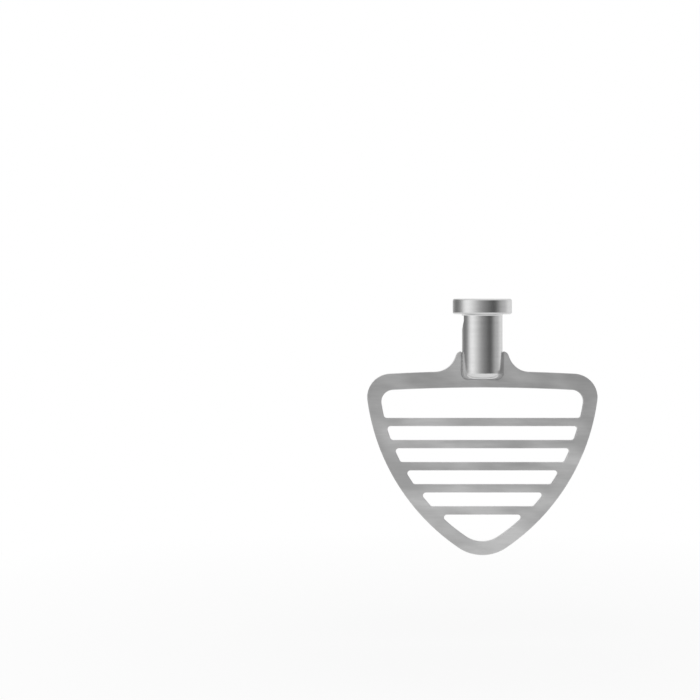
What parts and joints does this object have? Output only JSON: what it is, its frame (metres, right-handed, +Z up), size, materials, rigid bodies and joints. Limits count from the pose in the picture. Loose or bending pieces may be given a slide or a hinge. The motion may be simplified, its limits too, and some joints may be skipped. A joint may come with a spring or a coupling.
{
  "type": "stand mixer pastry beater",
  "caption": "Flat slotted steel blade with a rounded V outline, welded upright into a collared hub with a blind bore and a bayonet slot; cuts fat into flour.",
  "frame": {"origin": "the middle of the bore's mouth, in the collar's top face; the bore's straight wall starts 0.5 mm below it, under the mouth's chamfer", "axes": "+Z up along the bore and out of its mouth; the blade lies in the XZ plane with its tip towards -Z; +X to the right as seen from the front, and the front face looks towards -Y"},
  "size_m": [0.1354, 0.0348, 0.1507],
  "materials": {
    "hub_steel": "turned and polished stainless steel",
    "blade_steel": "stainless sheet with a fine level brushing, edges lightly rounded",
    "weld_steel": "ground weld seam"
  },
  "bodies": {
    "root": {"hub": "hub_steel", "blade": "blade_steel", "weld": "weld_steel"}
  },
  "joints": []
}
